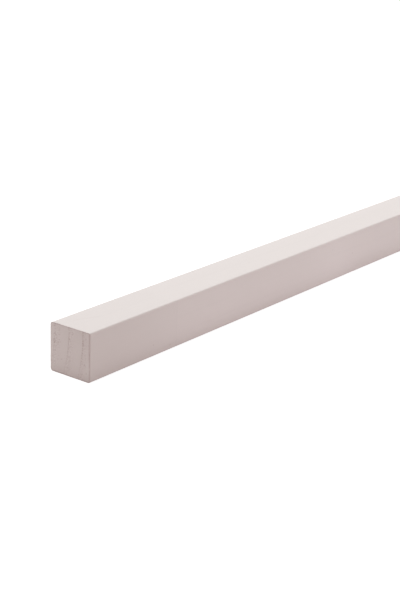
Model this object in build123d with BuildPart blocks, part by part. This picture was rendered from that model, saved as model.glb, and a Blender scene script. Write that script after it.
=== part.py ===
"""A square timber baluster, finger-jointed from shorter lengths and moulded to one rounded section.

The bar lies along X on its underside. Its origin is the middle of that underside, with Z up.
"""

import os
from math import ceil

from build123d import *

# The moulded section, in millimetres: the two edges of the front face are eased less than those of the back
section_width = 42.0
section_height = 42.0
front_arris_radius = 1.2
back_arris_radius = 2.6

# The bar between its two sawn ends, and where the middle of each joint lies from the near end
bar_length = 900.0
near_joint = 105.0
far_joint = 580.0

# The finger joint, as one cutter leaves it: the flat at a finger's tip is also the flat at its root
finger_length = 10.0
finger_pitch = 3.8
finger_flat = 0.6

near_end_x = -bar_length / 2
far_end_x = bar_length / 2

# Plan outlines run this far to each side, so that the moulded section alone sets the long faces
blank_half_width = section_width


def sawn_end(x):
    """Plan points of a square saw cut at x, from the front across to the back."""
    return [(x, -blank_half_width), (x, blank_half_width)]


def finger_joint(from_near_end):
    """Plan points of the glue line of a joint, from the front across to the back.

    The fingers of the nearer block point to +X. The two blocks share this one line, so they seat flank to flank.
    """
    root_x = near_end_x + from_near_end - finger_length / 2
    tip_x = root_x + finger_length
    half_root = (finger_pitch - finger_flat) / 2
    half_tip = finger_flat / 2
    finger_count = ceil(section_width / finger_pitch)
    points = [(root_x, -blank_half_width)]
    for finger in range(finger_count):
        centre_y = (finger - (finger_count - 1) / 2) * finger_pitch
        points += [
            (root_x, centre_y - half_root),
            (tip_x, centre_y - half_tip),
            (tip_x, centre_y + half_tip),
            (root_x, centre_y + half_root),
        ]
    points.append((root_x, blank_half_width))
    return points


def timber_block(label, near_line, far_line):
    """One length of timber between two plan lines, moulded to the bar's section and written as its own solid."""
    with BuildPart() as block:
        with BuildSketch(Plane.XY):
            with BuildLine():
                Polyline(*near_line, *reversed(far_line), close=True)
            make_face()
        extrude(amount=section_height)
        with BuildSketch(Plane.YZ.offset(near_end_x)) as section:
            with Locations((0, section_height / 2)):
                Rectangle(section_width, section_height)
            fillet(section.vertices().group_by(Axis.X)[0], front_arris_radius)
            fillet(section.vertices().group_by(Axis.X)[-1], back_arris_radius)
        extrude(amount=bar_length, mode=Mode.INTERSECT)
    block.part.label = label
    export_step(block.part, f"parts/{label}.step")


os.makedirs("parts", exist_ok=True)
timber_block("near_end_block", sawn_end(near_end_x), finger_joint(near_joint))
timber_block("middle_block", finger_joint(near_joint), finger_joint(far_joint))
timber_block("far_end_block", finger_joint(far_joint), sawn_end(far_end_x))
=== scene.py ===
"""The looks of a square primed timber baluster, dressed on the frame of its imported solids.

Lengths in the named values are millimetres unless they say otherwise.
Objects are in metres, in the frame's axes.
"""

import math

import bpy
import numpy as np
from mathutils import Matrix, Vector, noise


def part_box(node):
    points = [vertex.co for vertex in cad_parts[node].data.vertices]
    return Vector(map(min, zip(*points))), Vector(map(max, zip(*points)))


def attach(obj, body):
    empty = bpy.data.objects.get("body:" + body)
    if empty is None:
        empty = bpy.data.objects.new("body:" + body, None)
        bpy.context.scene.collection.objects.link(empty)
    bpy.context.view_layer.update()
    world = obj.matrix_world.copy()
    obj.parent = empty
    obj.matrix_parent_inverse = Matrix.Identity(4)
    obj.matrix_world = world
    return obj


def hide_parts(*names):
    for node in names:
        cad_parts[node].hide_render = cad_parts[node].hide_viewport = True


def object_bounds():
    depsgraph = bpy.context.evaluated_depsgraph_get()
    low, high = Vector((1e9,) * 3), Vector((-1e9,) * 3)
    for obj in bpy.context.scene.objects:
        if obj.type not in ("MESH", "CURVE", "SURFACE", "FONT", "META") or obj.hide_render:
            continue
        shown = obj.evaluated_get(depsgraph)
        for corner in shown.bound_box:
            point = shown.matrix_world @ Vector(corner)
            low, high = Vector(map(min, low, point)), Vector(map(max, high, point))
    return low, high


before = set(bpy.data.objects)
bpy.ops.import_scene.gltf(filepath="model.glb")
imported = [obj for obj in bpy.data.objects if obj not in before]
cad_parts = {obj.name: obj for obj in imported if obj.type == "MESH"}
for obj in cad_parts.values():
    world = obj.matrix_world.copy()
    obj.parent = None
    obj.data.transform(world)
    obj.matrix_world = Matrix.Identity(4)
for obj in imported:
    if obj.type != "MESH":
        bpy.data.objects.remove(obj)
cad_low, cad_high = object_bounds()

MM = 0.001

# The bar, as the solids have it
half_length = (cad_high.x - cad_low.x) / 2 / MM
half_section = (cad_high.y - cad_low.y) / 2 / MM
section = 2 * half_section
front_arris = 1.2
back_arris = 2.6

# The finger joints, as the solids have them, with the places of each joint's roots and tips along the bar
finger_pitch = 3.8
finger_flat = 0.6
finger_count = math.ceil(section / finger_pitch)
half_root = (finger_pitch - finger_flat) / 2
half_tip = finger_flat / 2
near_joint = (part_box("middle_block")[0].x / MM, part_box("near_end_block")[1].x / MM)
far_joint = (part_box("far_end_block")[0].x / MM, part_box("middle_block")[1].x / MM)

# The camera that took the photograph, fitted to the bar's edges, with its place in metres
image_height_px = 600
focal_px = 1375.96
sensor_mm = 36.0
camera_yaw = math.radians(53.1347)
camera_pitch = math.radians(19.0796)
camera_roll = math.radians(-2.1336)
camera_place = Vector((-1.202919, -0.691745, 0.420759))

# The studio: each lamp's name, place, aim and size in metres, watts and colour
lamps = [
    ("key", (0.1, 0.5, 2.2), (0, 0, 0), (2.4, 1.6), 37.7, (0.86, 0.99, 1.0)),
    ("strip", (0.038, -0.095, 0.009), (0.038, 0, 0.009), (0.814, 0.014), 0.032, (0.88, 0.91, 1.0)),
    ("pool", (-0.085, -0.07, 0.02), (-0.085, 0, 0.02), (0.04, 0.02), 0.0011, (0.88, 0.91, 1.0)),
]
world_strength = 0.507
world_colour = (1.0, 0.91, 0.886)
floor_half_m = 8.0
floor_colour = (0.82, 0.765, 0.76)
floor_seen_colour = 0.36
floor_seen_glow = 0.84

# The primer's colour, what a full stain or full painted shade takes from it, and its gloss on the long faces
# and on the ends
primer_colour = (0.765, 0.683, 0.664)
stain_and_shade_colour = (0.61, 0.683, 0.675)
primer_roughness = 0.58
end_roughness = primer_roughness + 0.1
gloss_spread = 0.03
end_gloss_spread = 0.04

# The tone of each block's primer, beside the middle one's, and of the primer on the ends
near_tone = 0.992
middle_tone = 1.0
far_tone = 0.996
end_tone = 0.98

# Seeds of the primer's patterns, on the long faces and on the ends
near_seed = 1.0
middle_seed = 21.0
far_seed = 41.0
near_end_seed = 61.0
far_end_seed = 71.0

# Sizes of the patterns in the primer along, across and up the bar, and how far a ring wanders
blotch_size = (60, 16, 16)
streak_size = (70, 0.9, 0.9)
stipple_size = (0.9, 0.9, 0.9)
end_blotch_size = (8, 8, 12)
end_stipple_size = (0.7, 0.7, 0.7)
ring_wander_size = (140, 60, 60)
ring_wander = 3.0
joint_line_width = 1.2

# Specks: their spacing and radii, the share of places with none, and the solid share of a speck
speck_spacing = 7
speck_radius = 0.42
speck_least_radius = 0.0007
speck_free_share = 0.55
speck_core = 0.5
spot_core = 0.4

# How much each pattern lightens the primer, as a share
blotch_tone = 0.006
streak_tone = 0.006
stipple_tone = 0.008
ring_tone = -0.008
joint_tone = -0.02
end_blotch_tone = 0.008
end_stipple_tone = 0.012

# How much each mark on the long faces stains the primer, as a share, and how much painted contact shade
# darkens the lower arrises
speck_stain = 0.14
cut_rim_stain = 0.26
painted_lower_shade_strength = 0.14
scuff_stain = 0.03
spot_stain = 0.13

# How far each pattern stands up from the primer
streak_height = 0.008
stipple_height = 0.012
ring_height = 0.02
speck_height = -0.05
joint_height = -0.02
end_stipple_height = 0.02

# The darker edges of the long faces: a stain along the saw cuts, and painted contact shade along the lower
# arrises
cut_rim_width = 1.7
cut_rim_core = 0.2
cut_rim_share_on_top = 0.15
painted_lower_shade_height = 1.8
painted_lower_shade_core = 0.2
painted_lower_shade_reach = 4.0
painted_lower_shade_full = 1.5

# The scuff on the top, with its middle measured from the near end and from the top's middle
scuff_from_end = 25.0
scuff_off_centre = 4.3
scuff_slope = 0.43
scuff_half_core = 0.3
scuff_half_width = 1.8
scuff_half_length = 14.0
scuff_heights = (section - 1.0, section - 0.3)

# Single specks in the primer, as places in the frame and sizes
near_spots = [(-370.4, -21.0, 10.1, 0.9), (-348.2, -21.0, 4.5, 0.9)]
middle_spots = [
    (-328.5, 17.9, 42.0, 0.9), (-211.6, -2.9, 42.0, 1.0), (-210.9, 17.1, 42.0, 0.9),
    (-95.8, -21.0, 31.9, 0.8), (-56.8, -21.0, 20.1, 1.0),
]

# The grid of a sawn end: its step, how near an even line comes to a fixed one, and the strip beside it
end_step = 0.25
least_gap = 0.3 * end_step
rim_reach = 1.0

# Growth rings, with the shares of a ring over which its edge rises and fades on the long faces
ring_spacing = 14.9
ring_rise = 0.05
ring_fade = 0.22

# Growth rings on the ends, which grow faint between two depths below the top
ring_waviness = 0.3
ring_wave_size = 9.0
ring_faint_depths = (14, 34)
ring_faint_weights = (1.0, 0.3)
groove_width = 0.45
early_width = 5.5
rough_size = 1.05
wave_size = 3.0

# Open pores along the rings, which look like dashes, and loose ones in the early wood
dash_spacing = 2.1
dash_size = 0.42
dash_half_angle = 0.32
dash_jitter = 0.2
dash_strengths = (0.5, 0.95)
dash_faint_depths = (20, 32)
dash_faint_weights = (1.0, 0.35)
pore_half_angle = 0.25
pore_spread = 3.0
pore_strengths = (0.1, 0.36)
pore_sizes = (0.3, 0.55)
pit_stretch = 1.5

# Saw marks and the torn rim of a cut
saw_lean = math.radians(48)
saw_spacing = 1.9
saw_waviness = 2.5
saw_wave_size = 12.0
edge_ease = 0.5
stain_width = 1.5
torn_size = 2.0
torn_spread = 0.6
torn_limits = (0.5, 1.5)

# How deep each feature of a sawn end is
groove_depth = 0.06
rough_depth = 0.04
pit_depth = 0.40
saw_depth = 0.012
rim_depth = 0.08
early_depth = 0.02
wave_depth = 0.02

# How much each feature of a sawn end stains the primer, as a share; the rim's underside is partly painted
# contact shade
groove_stain = 0.055
rough_stain = 0.13
pit_stain = 0.50
early_stain = 0.035
front_rim_stain = 0.24
front_rim_rise = 0.06
under_rim_stain_and_shade = 0.32
top_rim_stain = 0.20
back_rim_stain = 0.10
least_stain = -0.05
most_stain = 0.6

# Painted shade on the ends, where the light falls off to the front, at the top and at the foot: its strength,
# and the heights from the section's middle over which it grows
painted_front_shade = 0.05
painted_front_shade_heights = (-12, 4)
painted_front_shade_lead = 0.15
painted_upper_shade = 0.018
painted_upper_shade_heights = (6, half_section)
painted_foot_shade = 0.02
painted_foot_shade_heights = (-14, -19)

# The middle block's grain, with the pith's place from the section's middle and one ring's radius
middle_grain = {"pith": (-half_section - 30, half_section + 53), "first_ring": 74.5}

# The two saw cuts. A pit is its distance from the back and from the top, its size and its strength
near_cut = {
    "pith": (half_section + 90, half_section - 5),
    "first_ring": 95.0,
    "ring_weights": (0.4, 0.65, 1.0, 0.5),
    "pits": [
        (3.8, 14.3, 0.5, 0.75), (5.0, 15.5, 0.45, 0.7), (4.2, 17.0, 0.55, 0.85), (8.4, 15.9, 0.5, 0.7),
        (4.2, 9.3, 0.5, 0.55), (6.0, 10.2, 0.45, 0.5), (4.2, 2.5, 0.5, 0.5), (8.2, 17.8, 0.4, 0.45),
        (20.4, 10.3, 0.5, 0.45), (19.2, 25.8, 0.5, 0.5), (21.3, 21.2, 0.4, 0.35), (3.4, 20.4, 0.4, 0.4),
        (3.2, 15.8, 0.4, 0.55), (9.6, 13.4, 0.4, 0.5), (6.3, 13.0, 0.4, 0.4), (3.4, 24.5, 0.4, 0.35),
    ],
    "pores": 260,
    "seed": 3,
}
far_cut = {
    "pith": (-half_section - 70, -half_section - 30),
    "first_ring": 80.0,
    "ring_weights": (0.9, 0.6, 0.8, 0.7),
    "pits": [(12.0, 9.0, 0.6, 0.7), (14.5, 11.5, 0.5, 0.6), (30.0, 28.0, 0.6, 0.6)],
    "pores": 260,
    "seed": 8,
}

# The margin round each part of a block's flat map, as a share of the map
map_margin = 0.008


# Shader graph helpers

def add_node(tree, kind, **settings):
    """A new node of a tree, with its settings."""
    node = tree.nodes.new(kind)
    for name, value in settings.items():
        setattr(node, name, value)
    return node


def feed(tree, socket, value):
    """Links an output to a socket, or writes a constant on it."""
    if isinstance(value, bpy.types.NodeSocket):
        tree.links.new(value, socket)
    else:
        socket.default_value = value


def maths(tree, operation, *values):
    """The result of one step of arithmetic on outputs and constants."""
    node = add_node(tree, "ShaderNodeMath", operation=operation)
    for socket, value in zip(node.inputs, values):
        feed(tree, socket, value)
    return node.outputs[0]


def weighted(tree, terms):
    """The sum of several outputs, each times its weight."""
    parts = [maths(tree, "MULTIPLY", value, weight) for value, weight in terms]
    result = parts[0]
    for part in parts[1:]:
        result = maths(tree, "ADD", result, part)
    return result


def ramp(tree, value, low, high, to_low=0.0, to_high=1.0, kind="LINEAR"):
    """A value that goes from to_low to to_high between low and high."""
    node = add_node(tree, "ShaderNodeMapRange", interpolation_type=kind)
    for socket, given in zip(node.inputs, (value, low, high, to_low, to_high)):
        feed(tree, socket, given)
    return node.outputs[0]


def ease(tree, value, low, high, to_low=0.0, to_high=1.0):
    """A ramp that starts and ends softly."""
    return ramp(tree, value, low, high, to_low, to_high, "SMOOTHSTEP")


def scaled(tree, vector, scale):
    """A vector, or a constant one, times a number."""
    node = add_node(tree, "ShaderNodeVectorMath", operation="SCALE")
    feed(tree, node.inputs[0], vector)
    feed(tree, node.inputs["Scale"], scale)
    return node.outputs[0]


def split(tree, vector):
    """A vector's three parts."""
    node = add_node(tree, "ShaderNodeSeparateXYZ")
    feed(tree, node.inputs[0], vector)
    return list(node.outputs)


def cloud(tree, vector, size, seed, detail=2.0):
    """Noise between about -1 and 1, with features of the given size along each axis."""
    gain = 4.0
    stretched = add_node(tree, "ShaderNodeVectorMath", operation="MULTIPLY")
    feed(tree, stretched.inputs[0], vector)
    feed(tree, stretched.inputs[1], tuple(1 / s for s in size))
    node = add_node(tree, "ShaderNodeTexNoise", noise_dimensions="4D")
    feed(tree, node.inputs["Vector"], stretched.outputs[0])
    feed(tree, node.inputs["W"], seed)
    feed(tree, node.inputs["Scale"], 1.0)
    feed(tree, node.inputs["Detail"], detail)
    return maths(tree, "MULTIPLY_ADD", node.outputs["Fac"], gain, -gain / 2)


def place_in_mm(tree):
    """A surface point in the frame's axes, in millimetres."""
    coordinates = add_node(tree, "ShaderNodeTexCoord")
    return scaled(tree, coordinates.outputs["Object"], 1 / MM)


# Marks on the primer, and painted contact shade on its lower arrises

def ring_line(tree, point, grain, seed):
    """How near a growth ring's edge is on a long face: 1 on it, falling off slowly over the early wood."""
    pith_y, pith_z = grain["pith"]
    wander = maths(tree, "MULTIPLY", cloud(tree, point, ring_wander_size, seed), ring_wander)
    _, y, z = split(tree, point)
    off_y = maths(tree, "SUBTRACT", y, pith_y)
    off_z = maths(tree, "SUBTRACT", z, half_section + pith_z)
    square_y = maths(tree, "MULTIPLY", off_y, off_y)
    square_z = maths(tree, "MULTIPLY", off_z, off_z)
    distance = maths(tree, "SQRT", maths(tree, "ADD", square_y, square_z))
    radius = maths(tree, "ADD", distance, wander)
    past_first = maths(tree, "SUBTRACT", radius, grain["first_ring"])
    phase = maths(tree, "FRACT", maths(tree, "DIVIDE", past_first, ring_spacing))
    rising = ease(tree, phase, 1 - ring_rise, 1.0)
    return maths(tree, "MAXIMUM", rising, ease(tree, phase, 0.0, ring_fade, 1.0, 0.0))


def joint_line(tree, point, root_x, tip_x):
    """How near the glue line of a finger joint is: 1 on the line."""
    x, y, _ = split(tree, point)
    first_centre = -(finger_count - 1) / 2 * finger_pitch
    from_centre = maths(tree, "PINGPONG", maths(tree, "SUBTRACT", y, first_centre), finger_pitch / 2)
    line_x = ramp(tree, from_centre, half_tip, half_root, tip_x, root_x)
    away = maths(tree, "ABSOLUTE", maths(tree, "SUBTRACT", x, line_x))
    return ease(tree, away, 0.0, joint_line_width, 1.0, 0.0)


def specks(tree, point):
    """Sparse dust specks and pinholes in the primer, 1 at their middle."""
    node = add_node(tree, "ShaderNodeTexVoronoi", feature="F1")
    feed(tree, node.inputs["Vector"], point)
    feed(tree, node.inputs["Scale"], 1 / speck_spacing)
    chance = split(tree, node.outputs["Color"])[0]
    growth = ease(tree, chance, speck_free_share, 1.0, 0.0, speck_radius / speck_spacing)
    size = maths(tree, "ADD", growth, speck_least_radius / speck_spacing)
    ratio = maths(tree, "DIVIDE", node.outputs["Distance"], size)
    return ease(tree, ratio, speck_core, 1.0, 1.0, 0.0)


def spot(tree, point, place, size):
    """One speck in the primer, 1 at its middle."""
    away = add_node(tree, "ShaderNodeVectorMath", operation="DISTANCE")
    feed(tree, away.inputs[0], point)
    feed(tree, away.inputs[1], place)
    return ease(tree, away.outputs["Value"], spot_core * size, size, 1.0, 0.0)


def scuff(tree, point):
    """A faint scuff on the top near the sawn end, 1 along its middle."""
    x, y, z = split(tree, point)
    along = maths(tree, "ADD", x, half_length - scuff_from_end)
    middle = maths(tree, "MULTIPLY_ADD", along, -scuff_slope, scuff_off_centre)
    away = maths(tree, "ABSOLUTE", maths(tree, "SUBTRACT", y, middle))
    line = ease(tree, away, scuff_half_core, scuff_half_width, 1.0, 0.0)
    reach = ease(tree, maths(tree, "ABSOLUTE", along), scuff_half_length / 2, scuff_half_length, 1.0, 0.0)
    upper = ease(tree, z, *scuff_heights)
    return maths(tree, "MULTIPLY", maths(tree, "MULTIPLY", line, reach), upper)


def cut_rim(tree, point):
    """The dark edge of a saw cut on the long faces, hardly there on the top."""
    x, _, z = split(tree, point)
    from_middle = maths(tree, "ABSOLUTE", x)
    rim = ease(tree, from_middle, half_length - cut_rim_width, half_length - cut_rim_core)
    top_edge = (section - front_arris, section - cut_rim_core)
    return maths(tree, "MULTIPLY", rim, ease(tree, z, *top_edge, 1.0, cut_rim_share_on_top))


def painted_lower_shade(tree, point):
    """Painted contact shade on the lower edges of the long faces, 1 where an edge meets the flat underside.
    """
    _, y, z = split(tree, point)
    low = ease(tree, z, painted_lower_shade_core, painted_lower_shade_height, 1.0, 0.0)
    from_middle = maths(tree, "ABSOLUTE", y)
    at_side = ease(tree, from_middle, half_section - painted_lower_shade_reach, half_section - painted_lower_shade_full)
    return maths(tree, "MULTIPLY", low, at_side)


# Materials

def new_material(name):
    """A new material, with its node tree and its shader."""
    material = bpy.data.materials.new(name)
    material.use_nodes = True
    tree = material.node_tree
    return material, tree, tree.nodes["Principled BSDF"]


def darkened(tree, shade, stain_and_shade):
    """The primer's colour times a shade, less what a stain or painted shade takes from it."""
    colour = add_node(tree, "ShaderNodeVectorMath", operation="SUBTRACT")
    feed(tree, colour.inputs[0], scaled(tree, primer_colour, shade))
    feed(tree, colour.inputs[1], scaled(tree, stain_and_shade_colour, stain_and_shade))
    return colour.outputs[0]


def add_bump(tree, shader, height):
    """Raises a surface by a height in millimetres."""
    bump = add_node(tree, "ShaderNodeBump")
    bump.inputs["Strength"].default_value = 1.0
    bump.inputs["Distance"].default_value = MM
    feed(tree, bump.inputs["Height"], height)
    feed(tree, shader.inputs["Normal"], bump.outputs[0])


def primer_material(name, grain, seed, tone, joints, spots=()):
    """Matt primer over planed long grain: stipple, specks, faint rings, the joints that show through and
    painted contact shade on the lower arrises.
    """
    material, tree, shader = new_material(name)
    point = place_in_mm(tree)
    blotch = cloud(tree, point, blotch_size, seed)
    streak = cloud(tree, point, streak_size, seed + 1, detail=3.0)
    stipple = cloud(tree, point, stipple_size, seed + 2)
    ring = ring_line(tree, point, grain, seed + 3)
    speck = specks(tree, point)
    lines = [joint_line(tree, point, *ends) for ends in joints]
    shade = weighted(tree, [
        (blotch, blotch_tone),
        (streak, streak_tone),
        (stipple, stipple_tone),
        (ring, ring_tone),
        *((line, joint_tone) for line in lines),
    ])
    stain_and_shade = weighted(tree, [
        (speck, speck_stain),
        (cut_rim(tree, point), cut_rim_stain),
        # Painted contact shade along the lower arrises, where the bar meets the floor
        (painted_lower_shade(tree, point), painted_lower_shade_strength),
        (scuff(tree, point), scuff_stain),
        *((spot(tree, point, place, size), spot_stain) for *place, size in spots),
    ])
    height = weighted(tree, [
        (streak, streak_height),
        (stipple, stipple_height),
        (ring, ring_height),
        (speck, speck_height),
        *((line, joint_height) for line in lines),
    ])
    feed(tree, shader.inputs["Base Color"], darkened(tree, maths(tree, "ADD", shade, tone), stain_and_shade))
    add_bump(tree, shader, height)
    gloss = maths(tree, "MULTIPLY_ADD", blotch, gloss_spread, primer_roughness)
    feed(tree, shader.inputs["Roughness"], maths(tree, "MULTIPLY_ADD", stipple, gloss_spread, gloss))
    return material


def end_material(name, seed):
    """Primer soaked into sawn end grain: duller, and darker in the pits, along the cut's rim and under
    painted shade.
    """
    material, tree, shader = new_material(name)
    point = place_in_mm(tree)
    end_stain_and_shade = add_node(tree, "ShaderNodeAttribute", attribute_name="end_stain_and_shade")
    blotch = cloud(tree, point, end_blotch_size, seed)
    stipple = cloud(tree, point, end_stipple_size, seed + 1)
    shade = weighted(tree, [(blotch, end_blotch_tone), (stipple, end_stipple_tone)])
    colour = darkened(tree, maths(tree, "ADD", shade, end_tone), end_stain_and_shade.outputs["Fac"])
    feed(tree, shader.inputs["Base Color"], colour)
    add_bump(tree, shader, maths(tree, "MULTIPLY", stipple, end_stipple_height))
    gloss = maths(tree, "MULTIPLY_ADD", stipple, end_gloss_spread, end_roughness)
    feed(tree, shader.inputs["Roughness"], gloss)
    return material


# The section and the joints of the end blocks

def finger_corners():
    """The y of each corner of a glue line, four to a finger."""
    centres = [(finger - (finger_count - 1) / 2) * finger_pitch for finger in range(finger_count)]
    return [centre + off for centre in centres for off in (-half_root, -half_tip, half_tip, half_root)]


def glue_line(y, root_x, tip_x):
    """The joint's place along the bar at each y, as the solids have it."""
    ys = [-section, *finger_corners(), section]
    xs = [root_x, *[root_x, tip_x, tip_x, root_x] * finger_count, root_x]
    return np.interp(y, ys, xs)


def arris_at(y):
    """The arris radius on a point's side of the bar."""
    return np.where(np.asarray(y) < 0, front_arris, back_arris)


def with_lines(extra):
    """Even grid lines across the section, left out beside the extra ones that have to be met."""
    count = round(section / end_step)
    even = np.linspace(-half_section, half_section, count + 1)
    keep = np.unique(np.round([-half_section, half_section, *extra], 6))
    clear = np.abs(even[:, None] - keep[None, :]).min(1) > least_gap
    return np.unique(np.concatenate([even[clear], keep]))


def section_lines():
    """Grid lines across and up the section, so that the corners of the glue line fall on its outline."""
    lines_y = [front_arris - half_section, half_section - back_arris]
    lines_z = [half_section - front_arris, half_section - back_arris]
    half_way = math.sqrt(0.5)
    for y in finger_corners():
        arris = float(arris_at(y))
        flat = half_section - arris
        past = (abs(y) - flat) / arris
        if past <= 0:
            lines_y.append(y)
        elif past <= half_way:
            lines_y.append(math.copysign(flat + arris * past / half_way, y))
        elif past < 1:
            lines_z.append(flat + arris * math.sqrt(2 * (1 - past ** 2)))
    return with_lines(lines_y), with_lines(lines_z + [-z for z in lines_z])


def rounded(y, z):
    """Moves the grid's square corners onto the section's rounded ones."""
    arris = arris_at(y)
    flat = half_section - arris
    past_y = np.maximum(np.abs(y) - flat, 0) / arris
    past_z = np.maximum(np.abs(z) - flat, 0) / arris
    in_y = past_y * np.sqrt(1 - past_z ** 2 / 2)
    in_z = past_z * np.sqrt(1 - past_y ** 2 / 2)
    new_y = np.sign(y) * (np.minimum(np.abs(y), flat) + arris * in_y)
    new_z = np.sign(z) * (np.minimum(np.abs(z), flat) + arris * in_z)
    return new_y, new_z


def outline_depth(y, z):
    """How far inside the section's outline each point lies."""
    arris = arris_at(y)
    past_y = np.abs(y) - half_section + arris
    past_z = np.abs(z) - half_section + arris
    in_corner = np.hypot(np.maximum(past_y, 0), np.maximum(past_z, 0))
    return arris - in_corner - np.minimum(np.maximum(past_y, past_z), 0)


# The relief, the stain and the painted shade of a sawn end

def field(y, z, size, seed):
    """Smooth noise over an end face, between about -1 and 1."""
    points = np.stack([y / size, z / size], -1).reshape(-1, 2)
    values = [noise.noise((a, b, seed)) for a, b in points]
    return np.array(values).reshape(y.shape)


def heading_of(cut):
    """The direction from a cut's pith to the middle of the section."""
    pith_y, pith_z = cut["pith"]
    return math.atan2(-pith_z, -pith_y)


def from_pith(cut, radius, angle):
    """The place on a cut at a radius and an angle about its pith."""
    pith_y, pith_z = cut["pith"]
    return pith_y + radius * math.cos(angle), pith_z + radius * math.sin(angle)


def pit(y, z, place, size, lean):
    """One pit, longer along its lean, 1 at the middle."""
    off_y, off_z = y - place[0], z - place[1]
    along = off_y * math.cos(lean) + off_z * math.sin(lean)
    across = off_z * math.cos(lean) - off_y * math.sin(lean)
    return np.exp(-(along / (pit_stretch * size)) ** 2 - (across / size) ** 2)


def ring_pits(y, z, cut, draw):
    """The rows of open pores along each growth ring's edge, which look like dashes."""
    heading = heading_of(cut)
    pits = np.zeros_like(y)
    for ring, weight in enumerate(cut["ring_weights"]):
        radius = cut["first_ring"] + ring_spacing * ring
        step = dash_spacing / radius
        for angle in np.arange(heading - dash_half_angle, heading + dash_half_angle, step):
            at = angle + draw.normal(0, dash_jitter) * step
            place = from_pith(cut, radius, at)
            open_share = np.interp(half_section - place[1], dash_faint_depths, dash_faint_weights)
            strength = weight * open_share * draw.uniform(*dash_strengths)
            pits = np.maximum(pits, strength * pit(y, z, place, dash_size, at + math.pi / 2))
    return pits


def loose_pits(y, z, cut, draw):
    """The pits that are placed one by one, and small ones strewn over the early wood."""
    heading = heading_of(cut)
    pits = np.zeros_like(y)
    for from_back, from_top, size, strength in cut["pits"]:
        place = (half_section - from_back, half_section - from_top)
        pits = np.maximum(pits, strength * pit(y, z, place, size, -saw_lean))
    for _ in range(cut["pores"]):
        angle = heading + draw.uniform(-pore_half_angle, pore_half_angle)
        ring = draw.integers(0, len(cut["ring_weights"]))
        radius = cut["first_ring"] + ring_spacing * ring + abs(draw.normal(0, pore_spread))
        place = from_pith(cut, radius, angle)
        strength = draw.uniform(*pore_strengths)
        size = draw.uniform(*pore_sizes)
        pits = np.maximum(pits, strength * pit(y, z, place, size, -saw_lean))
    return pits


def rim_stain_and_shade(y, z):
    """How dark the cut's rim is on the side that a point is nearest to: a stain, and on the underside partly
    painted contact shade.
    """
    sides = np.stack([half_section + y, half_section + z, half_section - z, half_section - y])
    front = front_rim_stain + front_rim_rise * z / half_section
    # The underside's rim is darkest, partly painted contact shade where the bar meets the floor
    return np.choose(np.argmin(sides, 0), [front, under_rim_stain_and_shade, top_rim_stain, back_rim_stain])


def climb(value, low, high):
    """0 at low, 1 at high and straight between them."""
    return np.clip((value - low) / (high - low), 0, 1)


def painted_end_shade(y, z):
    """Painted shade over a cut, where the light falls off to the front, at the top and at the foot."""
    frontward = climb(z, *painted_front_shade_heights) * (painted_front_shade_lead - y / section)
    upper = climb(z, *painted_upper_shade_heights)
    lower = climb(z, *painted_foot_shade_heights)
    return painted_front_shade * frontward + painted_upper_shade * upper + painted_foot_shade * lower


def ring_courses(y, z, cut):
    """A cut's growth rings: how far each point is past a ring's edge, and how strong the nearest ring is."""
    pith_y, pith_z = cut["pith"]
    waviness = ring_waviness * field(y, z, ring_wave_size, cut["seed"] + 0.3)
    turn = (np.hypot(y - pith_y, z - pith_z) + waviness - cut["first_ring"]) / ring_spacing
    weights = np.array(cut["ring_weights"])
    weight = weights[np.clip(np.round(turn).astype(int), 0, len(weights) - 1)]
    fading = np.interp(half_section - z, ring_faint_depths, ring_faint_weights)
    return ring_spacing * np.mod(turn, 1.0), weight * fading


def saw_marks(y, z, seed):
    """The wavy lines of a saw, between -1 and 1."""
    across = z * math.cos(saw_lean) + y * math.sin(saw_lean)
    waviness = saw_waviness * field(y, z, saw_wave_size, seed)
    return np.sin(across * 2 * math.pi / saw_spacing + waviness)


def end_relief(y, z, cut):
    """A sawn end's relief, below its plane, and the share by which it is stained or darkened by painted
    shade.
    """
    seed = cut["seed"]
    draw = np.random.default_rng(seed)
    past, weight = ring_courses(y, z, cut)
    edge = np.minimum(past, ring_spacing - past)
    groove = weight * np.exp(-(edge / groove_width) ** 2)
    early = np.exp(-(past / early_width) ** 2)
    rough = early * field(y, z, rough_size, seed + 0.9)
    saw = saw_marks(y, z, seed + 1.1)
    pits = np.maximum(ring_pits(y, z, cut, draw), loose_pits(y, z, cut, draw))
    depth = outline_depth(y, z)
    rim = np.clip(1 - depth / edge_ease, 0, 1) ** 2
    torn = np.clip(1.0 + torn_spread * field(y, z, torn_size, seed + 1.3), *torn_limits)
    wave = field(y, z, wave_size, seed + 1.5)
    hollow = groove_depth * groove + rough_depth * rough + pit_depth * pits + saw_depth * saw
    hollow += rim_depth * rim * torn + early_depth * early + wave_depth * wave
    dark = groove_stain * groove + rough_stain * rough + pit_stain * pits + early_stain * weight * early
    # Painted shade over the cut, plus the rim's darkness, whose underside is partly painted contact shade
    dark += painted_end_shade(y, z) + rim_stain_and_shade(y, z) * np.clip(1 - depth / stain_width, 0, 1) * torn
    return np.minimum(-hollow, 0.0), np.clip(dark, least_stain, most_stain)


# The end blocks

def points_at(x, y, z):
    """Points of the bar at x, with z from the middle of the section."""
    return np.stack([np.broadcast_to(x, y.shape), y, z + half_section], -1).reshape(-1, 3)


def side_strips(rings):
    """Faces between each ring of points and the next."""
    strips = []
    for first, second in zip(rings, rings[1:]):
        strips.append(np.stack([first, np.roll(first, -1), np.roll(second, -1), second], -1))
    return np.concatenate(strips).tolist()


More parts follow.
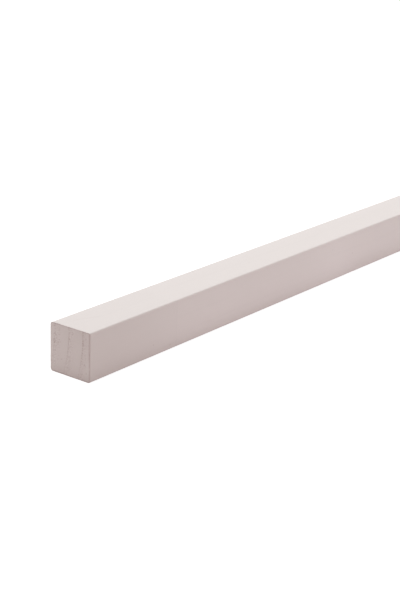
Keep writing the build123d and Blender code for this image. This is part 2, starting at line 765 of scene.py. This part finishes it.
def glue_faces(glue_ring, lines_y, lines_z):
    """Upright facets across the joint, from the lower outline to the upper one."""
    count_y, count_z = len(lines_y), len(lines_z)
    front_low = int(np.argmin(np.abs(lines_z + half_section - front_arris)))
    back_low = int(np.argmin(np.abs(lines_z + half_section - back_arris)))
    bottom = glue_ring[:count_y]
    back = glue_ring[count_y - 1:count_y + count_z - 1]
    top = glue_ring[count_y + count_z - 2:2 * count_y + count_z - 2][::-1]
    front = np.append(glue_ring[2 * count_y + count_z - 3:], glue_ring[0])[::-1]
    faces = [[bottom[i], bottom[i + 1], top[i + 1], top[i]] for i in range(count_y - 1)]
    for side, low, way in ((back, back_low, 1), (front, front_low, -1)):
        strips = [[side[j], side[j + 1], side[-2 - j], side[-1 - j]] for j in range(low - 1)]
        strips.append(side[low - 1:count_z - low + 1].tolist())
        faces += [strip[::way] for strip in strips]
    return [[int(point) for point in face] for face in faces]


def grid_faces(index):
    """Faces between the neighbouring points of a grid."""
    corners = [index[:-1, :-1], index[:-1, 1:], index[1:, 1:], index[1:, :-1]]
    return np.stack(corners, -1).reshape(-1, 4).tolist()


def block_mesh(name, points, faces, end_count, dark):
    """A smooth mesh whose first faces are the sawn end, with the end's stain and painted shade on its first
    points.
    """
    mesh = bpy.data.meshes.new(name)
    mesh.from_pydata((points * MM).tolist(), [], faces)
    mesh.polygons.foreach_set("material_index", [int(face < end_count) for face in range(len(faces))])
    mesh.polygons.foreach_set("use_smooth", [True] * len(faces))
    mesh.update()
    end_stain_and_shade = mesh.attributes.new("end_stain_and_shade", "FLOAT", "POINT")
    end_stain_and_shade.data.foreach_set("value", np.append(dark, np.zeros(len(points) - dark.size)))
    return mesh


def make_block(name, node, end_x, joint, cut):
    """A block with a refined sawn end, the solid's own section and the solid's own glue faces."""
    lines_y, lines_z = section_lines()
    y, z = rounded(*np.meshgrid(lines_y, lines_z, indexing="ij"))
    relief, dark = end_relief(y, z, cut)
    inward = -math.copysign(1, end_x)
    index = np.arange(y.size).reshape(y.shape)
    loop = np.concatenate([index[:-1, 0], index[-1, :-1], index[:0:-1, -1], index[0, :0:-1]])
    rings = [loop, y.size + np.arange(len(loop)), y.size + len(loop) + np.arange(len(loop))]
    ring_y, ring_z = y.ravel()[loop], z.ravel()[loop]
    points = np.concatenate([
        points_at(end_x - inward * relief, y, z),
        points_at(end_x + inward * rim_reach, ring_y, ring_z),
        points_at(glue_line(ring_y, *joint), ring_y, ring_z),
    ])
    end = grid_faces(index)
    faces = [*end, *side_strips(rings), *glue_faces(rings[-1], lines_y, lines_z)]
    if inward < 0:
        faces = [face[::-1] for face in faces]
    mesh = block_mesh(name, points, faces, len(end), dark)
    side_normals(mesh, len(end), ring_y, ring_z, rings)
    lay_out(mesh, points, len(end), ring_y, ring_z, end_x)
    piece = bpy.data.objects.new(name, mesh)
    bpy.context.scene.collection.objects.link(piece)
    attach(piece, "root")
    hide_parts(node)
    return piece


def corner_points(mesh):
    """The number of the point at each corner of a mesh's faces."""
    corners = np.zeros(len(mesh.loops), int)
    mesh.loops.foreach_get("vertex_index", corners)
    return corners


def side_corners(end_count, ring_count):
    """Where the corners of the long faces start and stop, between those of the sawn end and of the joint."""
    corners_each = 4
    strips = 2
    start = corners_each * end_count
    return start, start + corners_each * strips * ring_count


def side_normals(mesh, end_count, ring_y, ring_z, rings):
    """Gives the long faces the section's true normals, so that flats stay flat and the arrises round."""
    by_point = np.zeros((len(mesh.vertices), 3))
    arris = arris_at(ring_y)
    flat = half_section - arris
    for ring in rings:
        by_point[ring, 1] = np.sign(ring_y) * np.maximum(np.abs(ring_y) - flat, 0) / arris
        by_point[ring, 2] = np.sign(ring_z) * np.maximum(np.abs(ring_z) - flat, 0) / arris
    normals = by_point[corner_points(mesh)]
    start, stop = side_corners(end_count, len(ring_y))
    normals[:start] = 0
    normals[stop:] = 0
    mesh.normals_split_custom_set(normals.tolist())


def lay_out(mesh, points, end_count, ring_y, ring_z, end_x):
    """A flat map of a block: sawn end and glue faces side by side, and the long faces unrolled above them."""
    steps = np.hypot(np.diff(ring_y, append=ring_y[0]), np.diff(ring_z, append=ring_z[0]))
    around = np.append(0, np.cumsum(steps))
    along, across, up = points[corner_points(mesh)].T
    along = np.abs(along - end_x)
    half_map = 0.5 - 2 * map_margin
    places = half_map * np.stack([across / section + 0.5, up / section], -1)
    start, stop = side_corners(end_count, len(ring_y))
    places[stop:, 0] += 0.5
    side_around = np.tile(np.stack([around[:-1], around[1:], around[1:], around[:-1]], -1).ravel(), 2)
    ways = [side_around / around[-1], along[start:stop] / along.max()]
    if along.max() > around[-1]:
        ways.reverse()
    places[start:stop, 0] = (1 - 2 * map_margin) * ways[0]
    places[start:stop, 1] = 0.5 + half_map * ways[1]
    layer = mesh.uv_layers.new(name="OFBake")
    layer.uv.foreach_set("vector", (places + map_margin).ravel())


# Studio

def make_camera():
    """The photograph's camera."""
    data = bpy.data.cameras.new("camera")
    data.sensor_width = sensor_mm
    data.lens = focal_px * sensor_mm / image_height_px
    forward = Vector((
        math.sin(camera_yaw) * math.cos(camera_pitch),
        math.cos(camera_yaw) * math.cos(camera_pitch),
        -math.sin(camera_pitch),
    ))
    level = Vector((math.cos(camera_yaw), -math.sin(camera_yaw), 0))
    plumb = forward.cross(level)
    right = math.cos(camera_roll) * level + math.sin(camera_roll) * plumb
    down = math.cos(camera_roll) * plumb - math.sin(camera_roll) * level
    turn = Matrix((right, -down, -forward)).transposed()
    camera = bpy.data.objects.new("camera", data)
    camera.matrix_world = Matrix.Translation(camera_place) @ turn.to_4x4()
    bpy.context.scene.collection.objects.link(camera)
    bpy.context.scene.camera = camera


def make_lamp(name, place, aim, size, watts, colour):
    """A soft rectangular lamp, in metres, that the camera doesn't see."""
    data = bpy.data.lights.new(name, "AREA")
    data.shape = "RECTANGLE"
    data.size, data.size_y = size
    data.energy = watts
    data.color = colour
    lamp = bpy.data.objects.new(name, data)
    lamp.location = place
    lamp.rotation_euler = (Vector(aim) - Vector(place)).to_track_quat("-Z", "Y").to_euler()
    lamp.visible_camera = False
    bpy.context.scene.collection.objects.link(lamp)


def shows_white(tree):
    """1 for the rays that see the background, straight, in a gloss or through something clear."""
    path = add_node(tree, "ShaderNodeLightPath")
    straight = maths(tree, "MAXIMUM", path.outputs["Is Camera Ray"], path.outputs["Is Glossy Ray"])
    return maths(tree, "MAXIMUM", straight, path.outputs["Is Transmission Ray"])


def lit_and_seen(tree, lit, seen, output):
    """Joins the shader that lights the bar and the one that is seen."""
    mix = add_node(tree, "ShaderNodeMixShader")
    out = add_node(tree, output)
    feed(tree, mix.inputs[0], shows_white(tree))
    feed(tree, mix.inputs[1], lit.outputs[0])
    feed(tree, mix.inputs[2], seen.outputs[0])
    feed(tree, out.inputs["Surface"], mix.outputs[0])


def make_world():
    """Soft light from all round, seen as white."""
    world = bpy.data.worlds.new("studio")
    bpy.context.scene.world = world
    world.use_nodes = True
    tree = world.node_tree
    tree.nodes.clear()
    soft = add_node(tree, "ShaderNodeBackground")
    soft.inputs["Color"].default_value = (*world_colour, 1)
    soft.inputs["Strength"].default_value = world_strength
    white = add_node(tree, "ShaderNodeBackground")
    white.inputs["Color"].default_value = (1, 1, 1, 1)
    white.inputs["Strength"].default_value = 1.0
    lit_and_seen(tree, soft, white, "ShaderNodeOutputWorld")


def floor_material():
    """Pale paper that looks white and keeps a soft shadow."""
    material = bpy.data.materials.new("floor_paper")
    material.use_nodes = True
    tree = material.node_tree
    tree.nodes.clear()
    paper = add_node(tree, "ShaderNodeBsdfDiffuse")
    paper.inputs["Color"].default_value = (*floor_colour, 1)
    shaded = add_node(tree, "ShaderNodeBsdfDiffuse")
    shaded.inputs["Color"].default_value = (*[floor_seen_colour] * 3, 1)
    glow = add_node(tree, "ShaderNodeEmission")
    glow.inputs["Color"].default_value = (1, 1, 1, 1)
    glow.inputs["Strength"].default_value = floor_seen_glow
    seen = add_node(tree, "ShaderNodeAddShader")
    feed(tree, seen.inputs[0], shaded.outputs[0])
    feed(tree, seen.inputs[1], glow.outputs[0])
    lit_and_seen(tree, paper, seen, "ShaderNodeOutputMaterial")
    return material


def make_floor():
    """A plain level floor."""
    mesh = bpy.data.meshes.new("floor")
    signs = [(-1, -1), (1, -1), (1, 1), (-1, 1)]
    mesh.from_pydata([(x * floor_half_m, y * floor_half_m, 0) for x, y in signs], [], [(0, 1, 2, 3)])
    mesh.materials.append(floor_material())
    floor = bpy.data.objects.new("floor", mesh)
    bpy.context.scene.collection.objects.link(floor)


make_camera()
make_world()
make_floor()
for settings in lamps:
    make_lamp(*settings)

near_end = make_block("near_end", "near_end_block", -half_length, near_joint, near_cut)
near_long = primer_material("primer_near", near_cut, near_seed, near_tone, [near_joint], near_spots)
near_end.data.materials.append(near_long)
near_end.data.materials.append(end_material("primer_near_end_grain", near_end_seed))

far_end = make_block("far_end", "far_end_block", half_length, far_joint, far_cut)
far_long = primer_material("primer_far", far_cut, far_seed, far_tone, [far_joint])
far_end.data.materials.append(far_long)
far_end.data.materials.append(end_material("primer_far_end_grain", far_end_seed))

joints = [near_joint, far_joint]
middle_long = primer_material("primer_middle", middle_grain, middle_seed, middle_tone, joints, middle_spots)
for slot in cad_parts["middle_block"].material_slots:
    slot.material = middle_long

bpy.context.scene.view_settings.view_transform = "Standard"
